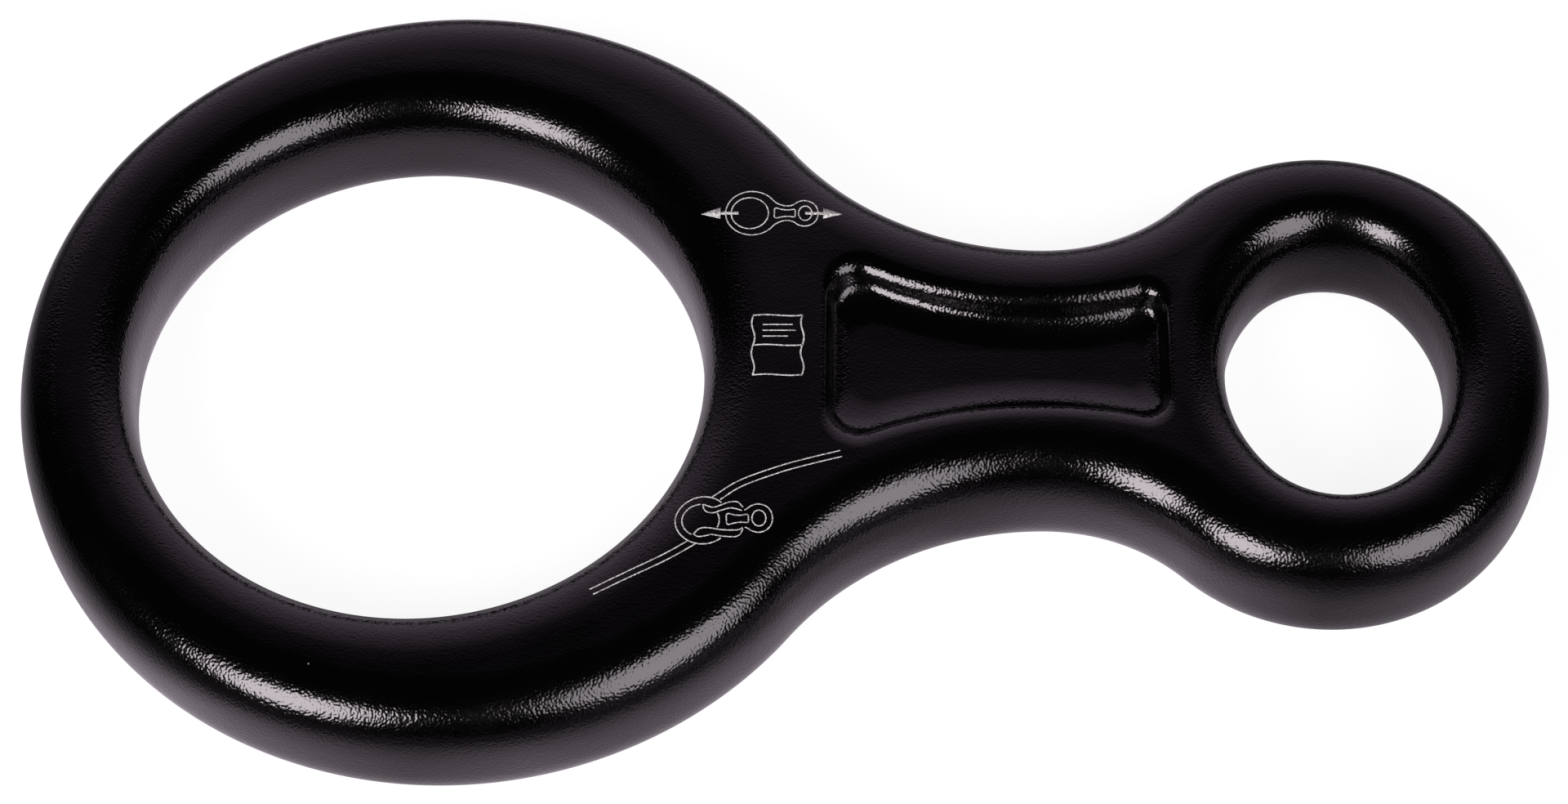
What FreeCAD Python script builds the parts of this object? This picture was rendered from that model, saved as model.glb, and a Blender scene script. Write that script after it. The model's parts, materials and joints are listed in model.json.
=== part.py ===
import FreeCAD, Part
import Sketcher
import math
import os
from types import SimpleNamespace

# Figure eight descender: one flat forging with a large rope ring, a narrow neck
# and a small ring with an oval eye for the connector. Everything is drawn about
# the centre of the rope hole, with X along the piece towards the small ring. The
# body is then placed with its underside on Z = 0 and its middle over the origin.

# Driving sizes, in millimetres and degrees
SIZES = {
    # the forged plate
    "plate_thickness": 12.8,
    "outer_edge_radius": 4.6,
    "hole_edge_radius": 4.1,
    # large ring: its outside circle is set off from the hole towards the neck
    "rope_hole_radius": 25.0,
    "rope_ring_wall": 13.0,
    "rope_ring_offset": 3.0,
    # small ring: the outside follows the oval eye at one wall, set off towards the neck
    "eye_distance": 80.3,
    "eye_half_length": 9.65,
    "eye_half_width": 12.5,
    "eye_flank_bulge": 1.75,
    "eye_ring_wall": 9.75,
    "eye_ring_offset": 0.75,
    # neck: one hollow arc on each side, tangent to both rings, this far apart at the waist
    "neck_width": 25.85,
    # shallow waisted recess in the neck, on both faces
    "recess_rope_gap": 10.4,
    "recess_eye_gap": 5.05,
    "recess_margin": 7.5,
    "recess_shift": 1.0,
    "recess_wide_corner_radius": 3.4,
    "recess_narrow_corner_radius": 2.8,
    "recess_depth": 2.35,
    "recess_wall_lean": 30.0,
    "recess_rim_radius": 1.5,
    "recess_floor_radius": 1.4,
}

# Formulas that more than one sketch or placement needs
RING_RADIUS = "(Sizes.rope_hole_radius + Sizes.rope_ring_wall)"
EYE_CORNER = "(Sizes.eye_half_length - Sizes.eye_flank_bulge)"
EYE_CORNER_Y = "(Sizes.eye_half_width - Sizes.eye_half_length + Sizes.eye_flank_bulge)"
EYE_FLANK = f"({EYE_CORNER_Y}^2 + Sizes.eye_half_length^2 - {EYE_CORNER}^2) / (2 * Sizes.eye_flank_bulge)"
EYE_RING_X = "(Sizes.eye_distance - Sizes.eye_ring_offset)"
PLATE_TOP = "Sizes.plate_thickness / 2"

# Places in a sketch: a curve's own points, the X axis and the origin
START, END, CENTRE = 1, 2, 3
X_AXIS = -1
ORIGIN = (-1, 1)
HALF_TURN = math.pi
FULL_TURN = 2 * math.pi

# How far a height may be off, and how far a cut's volume may be off its sketch times its depth
LEVEL_SHARE = 1e-4
ROUNDED_EDGE_SHARE = 0.1
LEANING_WALL_SHARE = 0.3


def make_sheet(doc):
    """The driving sizes, one row each, with the size's name as the alias of its cell."""
    sheet = doc.addObject("Spreadsheet::Sheet", "Sizes")
    for row, (name, value) in enumerate(SIZES.items(), start=1):
        sheet.set(f"A{row}", name.replace("_", " "))
        sheet.set(f"B{row}", str(value))
        sheet.setAlias(f"B{row}", name)
    doc.recompute()


def work_out_places():
    """Places and radii that follow from the driving sizes, where the sketches start from."""
    s = SimpleNamespace(**SIZES)
    p = SimpleNamespace(ring_radius=s.rope_hole_radius + s.rope_ring_wall)

    # the oval eye: flat flank arcs tangent to tighter corner arcs
    p.eye_corner = s.eye_half_length - s.eye_flank_bulge
    p.corner_y = s.eye_half_width - p.eye_corner
    p.eye_flank = (s.eye_half_length**2 + p.corner_y**2 - p.eye_corner**2) / (2 * s.eye_flank_bulge)

    # the small ring's outside, one wall away from the eye's shape
    p.eye_ring_x = s.eye_distance - s.eye_ring_offset
    p.eye_ring_corner = p.eye_corner + s.eye_ring_wall
    p.eye_ring_flank = p.eye_flank + s.eye_ring_wall
    p.far_end = p.eye_ring_x + s.eye_half_length + s.eye_ring_wall

    # the neck arc touches the rope ring's arc and the small ring's corner arc, and its lowest
    # point is half the neck's width from the axis: from both contacts, its radius and centre
    p.neck_half = s.neck_width / 2
    span = p.eye_ring_x - s.rope_ring_offset
    ring_rise = p.ring_radius - p.neck_half
    corner_rise = p.eye_ring_corner - p.neck_half + p.corner_y
    ring_square = p.ring_radius**2 - p.neck_half**2
    corner_square = p.eye_ring_corner**2 - (p.neck_half - p.corner_y) ** 2
    product = (span**2 - corner_square) * ring_rise + ring_square * corner_rise
    root = math.sqrt((span * ring_rise) ** 2 + (corner_rise - ring_rise) * product)
    reach = product / (span * ring_rise + root)
    p.neck_x = s.rope_ring_offset + reach
    p.neck_radius = (reach**2 - ring_square) / (2 * ring_rise)
    p.neck_y = p.neck_half + p.neck_radius

    # the recess: its ends, its hollow sides' arc and its corner arcs
    p.recess_start = s.rope_hole_radius + s.recess_rope_gap
    p.recess_end = s.eye_distance - s.eye_half_length - s.recess_eye_gap
    p.side_x = p.neck_x + s.recess_shift
    p.side_radius = p.neck_radius + s.recess_margin
    p.wide_x = p.recess_start + s.recess_wide_corner_radius
    p.wide_y = corner_height(p, p.side_x - p.wide_x, s.recess_wide_corner_radius)
    p.narrow_x = p.recess_end - s.recess_narrow_corner_radius
    p.narrow_y = corner_height(p, p.narrow_x - p.side_x, s.recess_narrow_corner_radius)
    return s, p


def corner_height(p, along, radius):
    """Y of a recess corner's centre, where the corner touches the recess's hollow side."""
    return p.neck_y - math.sqrt((p.side_radius + radius) ** 2 - along**2)


def origin_plane(body, role):
    return next(plane for plane in body.Origin.OriginFeatures if plane.Role == role)


def new_sketch(body, name):
    """A sketch on the plate's middle plane."""
    sketch = body.newObject("Sketcher::SketchObject", name)
    sketch.AttachmentSupport = [(origin_plane(body, "XY_Plane"), "")]
    sketch.MapMode = "FlatFace"
    return sketch


def point(x, y):
    return FreeCAD.Vector(x, y, 0)


def circle(x, y, radius):
    return Part.Circle(point(x, y), FreeCAD.Vector(0, 0, 1), radius)


def arc(x, y, radius, start, end):
    """Anticlockwise arc about (x, y) between two angles in radians."""
    return Part.ArcOfCircle(circle(x, y, radius), start, end)


def join_ends(sketch, pairs):
    """Joins curves end to end and tangent to each other."""
    for pair in pairs:
        sketch.addConstraint(Sketcher.Constraint("Tangent", *pair))


def keep(sketch, kind, *places):
    sketch.addConstraint(Sketcher.Constraint(kind, *places))


def bind(sketch, name, formula, kind, *places_and_value):
    """A named dimension of the sketch that follows a formula of the sheet."""
    index = sketch.addConstraint(Sketcher.Constraint(kind, *places_and_value))
    sketch.renameConstraint(index, name)
    sketch.setExpression(f"Constraints.{name}", formula)


def read_out(sketch, name, kind, *places_and_value):
    """A named measure of the solved sketch, which later sketches refer to."""
    index = sketch.addConstraint(Sketcher.Constraint(kind, *places_and_value))
    sketch.setDriving(index, False)
    sketch.renameConstraint(index, name)


def draw_outline(body, s, p):
    """The plan outline: rope ring arc, two hollow neck arcs and a three-arc small ring."""
    end_x = p.far_end - p.eye_ring_flank
    ring_turn = math.atan2(p.neck_y, p.neck_x - s.rope_ring_offset)
    corner_turn = math.atan2(p.neck_y - p.corner_y, p.eye_ring_x - p.neck_x)
    end_turn = math.atan2(p.corner_y, p.eye_ring_x - end_x)
    low_corner = (HALF_TURN + corner_turn, FULL_TURN - end_turn)
    high_corner = (end_turn, HALF_TURN - corner_turn)
    low_neck = (corner_turn, HALF_TURN - ring_turn)
    high_neck = (HALF_TURN + ring_turn, FULL_TURN - corner_turn)
    sketch = new_sketch(body, "Outline")
    ring, neck_low, corner_low, end, corner_high, neck_high = sketch.addGeometry(
        [
            arc(s.rope_ring_offset, 0, p.ring_radius, ring_turn, FULL_TURN - ring_turn),
            arc(p.neck_x, -p.neck_y, p.neck_radius, *low_neck),
            arc(p.eye_ring_x, -p.corner_y, p.eye_ring_corner, *low_corner),
            arc(end_x, 0, p.eye_ring_flank, -end_turn, end_turn),
            arc(p.eye_ring_x, p.corner_y, p.eye_ring_corner, *high_corner),
            arc(p.neck_x, p.neck_y, p.neck_radius, *high_neck),
        ],
        False,
    )
    waist_points = (point(p.neck_x, -p.neck_half), point(p.neck_x, p.neck_half))
    waist = sketch.addGeometry(Part.LineSegment(*waist_points), True)
    join_ends(
        sketch,
        [
            (ring, END, neck_low, END),
            (neck_low, START, corner_low, START),
            (corner_low, END, end, START),
            (end, END, corner_high, START),
            (corner_high, END, neck_high, END),
            (neck_high, START, ring, START),
        ],
    )
    keep(sketch, "PointOnObject", ring, CENTRE, X_AXIS)
    keep(sketch, "PointOnObject", end, CENTRE, X_AXIS)
    keep(sketch, "Vertical", corner_low, CENTRE, corner_high, CENTRE)
    keep(sketch, "Equal", corner_low, corner_high)
    keep(sketch, "Equal", neck_low, neck_high)
    keep(sketch, "PointOnObject", waist, START, neck_low)
    keep(sketch, "PointOnObject", waist, END, neck_high)
    keep(sketch, "Vertical", waist, START, neck_high, CENTRE)
    keep(sketch, "Vertical", waist, END, neck_high, CENTRE)
    ring_centre = (*ORIGIN, ring, CENTRE)
    corner_centre = (*ORIGIN, corner_high, CENTRE)
    neck_centre = (*ORIGIN, neck_high, CENTRE)
    corner_formula = f"{EYE_CORNER} + Sizes.eye_ring_wall"
    end_formula = f"{EYE_FLANK} + Sizes.eye_ring_wall"
    bind(sketch, "ring_offset", "Sizes.rope_ring_offset", "DistanceX", *ring_centre, s.rope_ring_offset)
    bind(sketch, "ring_radius", RING_RADIUS, "Radius", ring, p.ring_radius)
    bind(sketch, "eye_ring_x", EYE_RING_X, "DistanceX", *corner_centre, p.eye_ring_x)
    bind(sketch, "corner_y", EYE_CORNER_Y, "DistanceY", *corner_centre, p.corner_y)
    bind(sketch, "corner_radius", corner_formula, "Radius", corner_high, p.eye_ring_corner)
    bind(sketch, "end_radius", end_formula, "Radius", end, p.eye_ring_flank)
    bind(sketch, "neck_width", "Sizes.neck_width", "DistanceY", waist, START, waist, END, s.neck_width)
    read_out(sketch, "neck_radius", "Radius", neck_high, p.neck_radius)
    read_out(sketch, "neck_x", "DistanceX", *neck_centre, p.neck_x)
    read_out(sketch, "neck_y", "DistanceY", *neck_centre, p.neck_y)
    return sketch


def draw_rope_hole(body, s):
    sketch = new_sketch(body, "RopeHoleOutline")
    hole = sketch.addGeometry(circle(0, 0, s.rope_hole_radius), False)
    keep(sketch, "Coincident", hole, CENTRE, *ORIGIN)
    bind(sketch, "radius", "Sizes.rope_hole_radius", "Radius", hole, s.rope_hole_radius)
    return sketch


def draw_eye(body, s, p):
    """The oval eye: a flat flank arc on each side of its middle and a corner arc at each end."""
    reach = p.eye_flank - s.eye_half_length
    turn = math.atan2(p.corner_y, reach)
    sketch = new_sketch(body, "EyeOutline")
    outer_flank, corner_high, inner_flank, corner_low = sketch.addGeometry(
        [
            arc(s.eye_distance - reach, 0, p.eye_flank, -turn, turn),
            arc(s.eye_distance, p.corner_y, p.eye_corner, turn, HALF_TURN - turn),
            arc(s.eye_distance + reach, 0, p.eye_flank, HALF_TURN - turn, HALF_TURN + turn),
            arc(s.eye_distance, -p.corner_y, p.eye_corner, HALF_TURN + turn, FULL_TURN - turn),
        ],
        False,
    )
    join_ends(
        sketch,
        [
            (outer_flank, END, corner_high, START),
            (corner_high, END, inner_flank, START),
            (inner_flank, END, corner_low, START),
            (corner_low, END, outer_flank, START),
        ],
    )
    keep(sketch, "PointOnObject", outer_flank, CENTRE, X_AXIS)
    keep(sketch, "PointOnObject", inner_flank, CENTRE, X_AXIS)
    keep(sketch, "Equal", outer_flank, inner_flank)
    keep(sketch, "Equal", corner_high, corner_low)
    corner_centre = (*ORIGIN, corner_high, CENTRE)
    bind(sketch, "eye_x", "Sizes.eye_distance", "DistanceX", *corner_centre, s.eye_distance)
    bind(sketch, "corner_y", EYE_CORNER_Y, "DistanceY", *corner_centre, p.corner_y)
    bind(sketch, "corner_radius", EYE_CORNER, "Radius", corner_high, p.eye_corner)
    bind(sketch, "flank_radius", EYE_FLANK, "Radius", outer_flank, p.eye_flank)
    return sketch


def draw_recess(body, s, p):
    """The recess on the plate's top plane: straight ends, hollow sides beside the neck's arcs."""
    wide = s.recess_wide_corner_radius
    narrow = s.recess_narrow_corner_radius
    wide_turn = math.atan2(p.neck_y - p.wide_y, p.side_x - p.wide_x)
    narrow_turn = math.atan2(p.neck_y - p.narrow_y, p.side_x - p.narrow_x)
    high_side = (HALF_TURN + wide_turn, HALF_TURN + narrow_turn)
    low_side = (HALF_TURN - narrow_turn, HALF_TURN - wide_turn)
    sketch = new_sketch(body, "RecessOutline")
    sketch.setExpression("AttachmentOffset.Base.z", PLATE_TOP)
    eye_end, eye_high, side_high, rope_high, rope_end, rope_low, side_low, eye_low = sketch.addGeometry(
        [
            Part.LineSegment(point(p.recess_end, -p.narrow_y), point(p.recess_end, p.narrow_y)),
            arc(p.narrow_x, p.narrow_y, narrow, 0, narrow_turn),
            arc(p.side_x, p.neck_y, p.side_radius, *high_side),
            arc(p.wide_x, p.wide_y, wide, wide_turn, HALF_TURN),
            Part.LineSegment(point(p.recess_start, p.wide_y), point(p.recess_start, -p.wide_y)),
            arc(p.wide_x, -p.wide_y, wide, HALF_TURN, FULL_TURN - wide_turn),
            arc(p.side_x, -p.neck_y, p.side_radius, *low_side),
            arc(p.narrow_x, -p.narrow_y, narrow, FULL_TURN - narrow_turn, FULL_TURN),
        ],
        False,
    )
    join_ends(
        sketch,
        [
            (eye_end, END, eye_high, START),
            (eye_high, END, side_high, END),
            (side_high, START, rope_high, START),
            (rope_high, END, rope_end, START),
            (rope_end, END, rope_low, START),
            (rope_low, END, side_low, END),
            (side_low, START, eye_low, START),
            (eye_low, END, eye_end, START),
        ],
    )
    keep(sketch, "Vertical", eye_end)
    keep(sketch, "Vertical", rope_end)
    keep(sketch, "Equal", side_high, side_low)
    keep(sketch, "Equal", rope_high, rope_low)
    keep(sketch, "Equal", eye_high, eye_low)
    keep(sketch, "Symmetric", side_high, CENTRE, side_low, CENTRE, X_AXIS)
    side_centre = (*ORIGIN, side_high, CENTRE)
    side_formula = "Outline.Constraints.neck_radius + Sizes.recess_margin * 1 mm"
    shift_formula = "Outline.Constraints.neck_x + Sizes.recess_shift * 1 mm"
    start_formula = "Sizes.rope_hole_radius + Sizes.recess_rope_gap"
    end_formula = "Sizes.eye_distance - Sizes.eye_half_length - Sizes.recess_eye_gap"
    bind(sketch, "side_x", shift_formula, "DistanceX", *side_centre, p.side_x)
    bind(sketch, "side_y", "Outline.Constraints.neck_y", "DistanceY", *side_centre, p.neck_y)
    bind(sketch, "side_radius", side_formula, "Radius", side_high, p.side_radius)
    bind(sketch, "wide_radius", "Sizes.recess_wide_corner_radius", "Radius", rope_high, wide)
    bind(sketch, "narrow_radius", "Sizes.recess_narrow_corner_radius", "Radius", eye_high, narrow)
    bind(sketch, "start_x", start_formula, "DistanceX", *ORIGIN, rope_end, START, p.recess_start)
    bind(sketch, "end_x", end_formula, "DistanceX", *ORIGIN, eye_end, START, p.recess_end)
    return sketch


def check_removed(name, before, after, sketch, depth, share):
    """Stops the build where a cut took away much more or less than its sketch and depth say."""
    expected = Part.Face(sketch.Shape.Wires[0]).Area * depth
    removed = before - after
    if abs(removed - expected) > share * expected:
        raise RuntimeError(f"{name} removed {removed:.1f} cubic mm and not about {expected:.1f}")


def hole_through(doc, body, sketch, name):
    """A hole through the whole plate, cut both ways from the middle plane."""
    before = body.Shape.Volume
    cut = body.newObject("PartDesign::Pocket", name)
    cut.Profile = sketch
    cut.Type = "Length"
    cut.SideType = "Symmetric"
    cut.setExpression("Length", "2 * Sizes.plate_thickness")
    doc.recompute()
    depth = SIZES["plate_thickness"]
    check_removed(name, before, cut.Shape.Volume, sketch, depth, ROUNDED_EDGE_SHARE)
    return cut


def sunken_panel(doc, body, sketch):
    """The shallow recess with its leaning wall, cut into the top face and mirrored to the underside."""
    doc.recompute()
    before = body.Shape.Volume
    cut = body.newObject("PartDesign::Pocket", "Recess")
    cut.Profile = sketch
    cut.Type = "Length"
    cut.setExpression("Length", "Sizes.recess_depth")
    cut.setExpression("TaperAngle", "-Sizes.recess_wall_lean")
    doc.recompute()
    depth = SIZES["recess_depth"]
    check_removed("Recess", before, cut.Shape.Volume, sketch, depth, LEANING_WALL_SHARE)
    mirrored = body.newObject("PartDesign::Mirrored", "RecessBelow")
    mirrored.Originals = [cut]
    mirrored.MirrorPlane = (origin_plane(body, "XY_Plane"), [""])
    body.Tip = mirrored
    doc.recompute()
    check_removed("RecessBelow", cut.Shape.Volume, mirrored.Shape.Volume, sketch, depth, LEANING_WALL_SHARE)
    return mirrored


def flat_edges(shape, height, inside):
    """Names of the edges that lie flat at that height above or below the middle plane, and pass the test."""
    slack = SIZES["plate_thickness"] * LEVEL_SHARE
    names = []
    for number, edge in enumerate(shape.Edges, start=1):
        box = edge.BoundBox
        level = abs(box.ZMin + box.ZMax) / 2
        middle = edge.valueAt((edge.FirstParameter + edge.LastParameter) / 2)
        if box.ZLength < slack and abs(level - height) < slack and inside(middle):
            names.append(f"Edge{number}")
    return names


def round_edges(doc, body, base, name, radius, edges):
    if not edges:
        raise RuntimeError(f"{name} found no edge to round")
    fillet = body.newObject("PartDesign::Fillet", name)
    fillet.Base = (base, edges)
    fillet.setExpression("Radius", f"Sizes.{radius}")
    doc.recompute()
    return fillet


def make_descender_body(doc, s, p):
    """The forging, in its order of making: plate, outer edges, holes and their edges, recesses."""
    body = doc.addObject("PartDesign::Body", "descender_body")
    body.Label = "descender_body"
    top = s.plate_thickness / 2
    floor = top - s.recess_depth
    rope_reach = s.rope_hole_radius + s.hole_edge_radius
    eye_start = s.eye_distance - s.eye_half_length - s.hole_edge_radius

    def anywhere(middle):
        return True

    def on_a_hole(middle):
        return math.hypot(middle.x, middle.y) < rope_reach or on_the_eye(middle)

    def on_the_eye(middle):
        along = abs(middle.x - s.eye_distance) < s.eye_half_length + s.hole_edge_radius
        return along and abs(middle.y) < s.eye_half_width + s.hole_edge_radius

    def in_the_neck(middle):
        return rope_reach < middle.x < eye_start and abs(middle.y) < p.neck_half

    outline = draw_outline(body, s, p)
    plate = body.newObject("PartDesign::Pad", "Plate")
    plate.Profile = outline
    plate.SideType = "Symmetric"
    plate.setExpression("Length", "Sizes.plate_thickness")
    doc.recompute()
    edges = flat_edges(plate.Shape, top, anywhere)
    round_edges(doc, body, plate, "OuterEdges", "outer_edge_radius", edges)

    hole_through(doc, body, draw_rope_hole(body, s), "RopeHole")
    eye = hole_through(doc, body, draw_eye(body, s, p), "Eye")
    edges = flat_edges(eye.Shape, top, on_a_hole)
    round_edges(doc, body, eye, "HoleEdges", "hole_edge_radius", edges)

    recess = sunken_panel(doc, body, draw_recess(body, s, p))
    edges = flat_edges(recess.Shape, top, in_the_neck)
    rim = round_edges(doc, body, recess, "RecessRim", "recess_rim_radius", edges)
    edges = flat_edges(rim.Shape, floor, in_the_neck)
    round_edges(doc, body, rim, "RecessFloor", "recess_floor_radius", edges)
    place(doc, body)
    return body


def place(doc, body):
    """Puts the underside on Z = 0 and the middle of the length on X = 0."""
    far_end = f"{EYE_RING_X} + Sizes.eye_half_length + Sizes.eye_ring_wall"
    near_end = f"Sizes.rope_ring_offset - {RING_RADIUS}"
    body.setExpression("Placement.Base.x", f"-({far_end} + {near_end}) / 2")
    body.setExpression("Placement.Base.z", PLATE_TOP)
    doc.recompute()


def check_document(doc, body):
    """Stops the build if any object failed or the body isn't one sound solid."""
    for item in doc.Objects:
        if "Invalid" in item.State or "Error" in item.State:
            raise RuntimeError(f"{item.Name} failed: {item.State}")
        if item.TypeId == "Sketcher::SketchObject" and not item.FullyConstrained:
            raise RuntimeError(f"{item.Name} is not fully constrained")
    if body.Shape.isNull() or not body.Shape.isValid() or len(body.Shape.Solids) != 1:
        raise RuntimeError(f"{body.Label} is not one valid solid")


def main():
    doc = FreeCAD.newDocument("FigureEightDescender")
    make_sheet(doc)
    s, p = work_out_places()
    body = make_descender_body(doc, s, p)
    check_document(doc, body)
    os.makedirs("parts", exist_ok=True)
    body.Shape.exportStep(f"parts/{body.Label}.step")
    print(f"{body.Label}: neck radius {p.neck_radius:.2f} mm, volume {body.Shape.Volume:.1f} cubic mm")


main()
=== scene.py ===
import json
import math

import bpy
import numpy as np
from mathutils import Matrix, Vector
from mathutils.geometry import tessellate_polygon


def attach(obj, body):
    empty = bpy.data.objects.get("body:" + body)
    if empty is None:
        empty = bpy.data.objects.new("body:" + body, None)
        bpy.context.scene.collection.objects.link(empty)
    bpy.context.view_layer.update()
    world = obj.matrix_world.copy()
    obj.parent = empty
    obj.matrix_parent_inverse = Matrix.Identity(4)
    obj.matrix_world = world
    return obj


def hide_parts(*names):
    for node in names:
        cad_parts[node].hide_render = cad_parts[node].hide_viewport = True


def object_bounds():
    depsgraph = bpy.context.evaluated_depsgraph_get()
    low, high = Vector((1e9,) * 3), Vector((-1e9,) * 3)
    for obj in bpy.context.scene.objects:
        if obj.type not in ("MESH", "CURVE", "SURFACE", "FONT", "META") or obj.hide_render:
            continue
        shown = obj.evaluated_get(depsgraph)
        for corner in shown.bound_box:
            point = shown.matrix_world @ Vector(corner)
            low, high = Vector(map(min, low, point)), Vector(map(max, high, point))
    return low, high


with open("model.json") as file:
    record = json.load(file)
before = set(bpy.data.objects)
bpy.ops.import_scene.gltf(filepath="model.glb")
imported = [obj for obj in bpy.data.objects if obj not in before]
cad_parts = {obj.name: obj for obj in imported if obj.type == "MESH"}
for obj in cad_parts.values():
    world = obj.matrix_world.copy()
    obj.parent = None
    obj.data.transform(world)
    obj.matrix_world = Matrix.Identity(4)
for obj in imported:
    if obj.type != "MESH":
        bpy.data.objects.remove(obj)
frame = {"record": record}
cad_low, cad_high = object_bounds()

# Figure eight descender: one black anodised forging lying flat on a white table.
# Shapes are worked out in millimetres about the centre of the rope hole, with z = 0 on the
# middle plane of the forging, and moved to the frame's metres when a mesh is made.

MM = 0.001
HALF_TURN = math.pi
FULL_TURN = 2 * math.pi

mounts = {mount["name"]: mount for mount in frame["record"]["mounts"]}
ROPE_HOLE_PLACE = Vector(mounts["rope_hole"]["pos_m"])
ROPE_HOLE_RADIUS = mounts["rope_hole"]["dims"]["r_mm"]
EYE_X = (mounts["connector_eye"]["pos_m"][0] - ROPE_HOLE_PLACE.x) / MM

# the thickness, which leaves room at the top for the skin of the laser markings
SKIN_UNDER = 0.02
SKIN_OVER = 0.012
HALF_THICKNESS = (cad_high.z - cad_low.z) / 2 / MM - SKIN_OVER

# the longest step and the widest turn between two points of an arc
ARC_STEP = 0.6
ARC_TURN = math.radians(5)

# the outline: rope ring, oval eye, small ring and the neck's narrowest place
RING_X = 3.0
RING_RADIUS = ROPE_HOLE_RADIUS + 12.99
EYE_HALF_LENGTH = 9.62
EYE_HALF_WIDTH = 12.57
EYE_CORNER = 7.88
SMALL_RING_X = EYE_X - 1.0
SMALL_RING_END = EYE_X + 18.63
SMALL_RING_CORNER = 18.77
SMALL_RING_CORNER_Y = 3.7
NECK_LOW_X = EYE_X - 25.57
NECK_HALF_WIDTH = 12.75

# the soft oval section of the edges: its exponent, how far it reaches in from the side, and the
# share of a narrow wall that it takes, apart from the flats that stay beside it
OUTER_POWER, OUTER_REACH = 2.6, 5.75
RING_WALL_SHARE, SMALL_RING_WALL_SHARE = 0.49, 0.545
ROPE_POWER, ROPE_REACH, ROPE_WALL_SHARE = 3.0, 6.5, 0.51
EYE_POWER, EYE_REACH, EYE_WALL_SHARE = 2.6, 4.8, 0.455
WALL_FLAT = 0.3
RIM_FLAT = 0.25
SECTION_STEPS = 40
GUARD_WIDTH = 0.1

# the recess in the neck, where its rim has the lean RIM_LEAN: its ends, the centre and radius of
# each hollow side, its depth, and the radii of its corners at the wide end and the narrow one
RECESS_START = ROPE_HOLE_RADIUS + 10.5
RECESS_END = EYE_X - 14.55
RECESS_FAR = (EYE_X - 26.0, 38.62, 33.0)
RECESS_NEAR = (EYE_X - 26.0, 46.1, 40.5)
RECESS_DEPTH = 2.6
RIM_CORNERS = (3.3, 2.5)
FOOT_CORNERS = (2.2, 1.3)
WIDE_END_POINTS, NARROW_END_POINTS, CORNER_POINTS, SIDE_POINTS = 20, 16, 14, 60

# the recess's walls: the slope in degrees, and the radii of the roundings at the rim and the foot,
# each followed by the soft radius that it has below a lean of SOFT_LEAN, give or take SOFT_BLEND
FAR_WALL = {"slope": 66, "rim": 1.6, "rim_soft": 2.4, "foot": 1.4, "foot_soft": 6.0}
NEAR_WALL = {"slope": 54, "rim": 1.7, "rim_soft": 2.6, "foot": 1.9, "foot_soft": 6.5}
END_WALL = {"slope": 70, "rim": 0.6, "rim_soft": 0.7, "foot": 1.0, "foot_soft": 3.0}
RIM_LEAN = 30
SOFT_LEAN = 24
SOFT_BLEND = 2.5
LEAN_STEPS = 15

# the laser markings: line widths, the centre, scale, rope hole radius before scaling and turn of
# each small descender, the arrows' tips, and where markings pass from the ring's edge to the neck's
LINE_WIDTH = 0.11
PAGE_LINE_WIDTH = 0.14
TEXT_LINE_WIDTH = 0.12
ARROW_HEAD_WIDTH, ARROW_SHAFT_WIDTH = 1.15, 0.3
PULLED_CENTRE, PULLED_SCALE, PULLED_HOLE, PULLED_TURN = (28.9, 14.42), 0.061, 27.0, 0.0
ROPED_CENTRE, ROPED_SCALE, ROPED_HOLE, ROPED_TURN = (25.15, -17.17), 0.062, 25.7, 0.045
ARROW_TIPS = (24.6, 37.1)
MARKED_NECK_X = 25.0

# the rope of the roped descender: both edges of the two strands that come out of its hole and pass
# round its neck, about its centre, and one edge of each free end, with the rope's own width
STRANDS = (
    (
        [(0.17, 1.6), (0.34, 1.54), (0.6, 1.43), (1.08, 1.28),
         (1.77, 1.54), (2.45, 1.81), (3.13, 1.81), (3.6, 1.3)],
        [(0.17, 1.6), (0.28, 1.1), (0.57, 0.81), (1.08, 0.74),
         (1.7, 0.97), (2.45, 1.21), (3.02, 1.14), (3.5, 0.97)],
    ),
    (
        [(-0.57, -1.39), (-0.23, -0.94), (0.17, -0.75), (0.74, -0.75), (1.65, -0.91),
         (2.5, -0.98), (3.2, -0.94), (3.45, -0.85), (3.6, -0.72)],
        [(-0.57, -1.39), (-0.17, -1.61), (0.4, -1.54), (0.97, -1.41), (1.65, -1.54),
         (2.45, -1.61), (3.02, -1.61), (3.42, -1.34), (3.62, -0.8)],
    ),
)
NEAR_ROPE_END = [(15.9, -23.9), (18.6, -22.4), (21.85, -20.65), (24.1, -19.2), (25.0, -18.5)]
FAR_ROPE_END = [(26.1, -14.85), (28.4, -13.2), (31.8, -11.75), (34.5, -10.88), (37.0, -10.18)]
ROPE_WIDTH = 0.62


def arc(centre, radius, start, end, side, count=0):
    """Points of an arc at equal turns, without its last one, and the unit vectors there that
    point into the metal: outwards from the centre where side is 1, towards it where side is -1."""
    turns = abs(end - start)
    count = count or max(math.ceil(turns * radius / ARC_STEP), math.ceil(turns / ARC_TURN), 2)
    turn = np.linspace(start, end, count, endpoint=False)
    spoke = np.stack([np.cos(turn), np.sin(turn)], -1)
    return np.asarray(centre) + radius * spoke, side * spoke


def straight(start, end, inward, count):
    """Points at equal steps along a line, without its last one, with one inward vector for all."""
    start, end = np.asarray(start, float), np.asarray(end, float)
    share = np.linspace(0, 1, count, endpoint=False)[:, None]
    return start + (end - start) * share, np.broadcast_to(inward, (count, 2))


def joined(*runs):
    """Runs of points and their inward vectors, one after another, as one closed path."""
    return tuple(np.concatenate(part) for part in zip(*runs))


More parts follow.
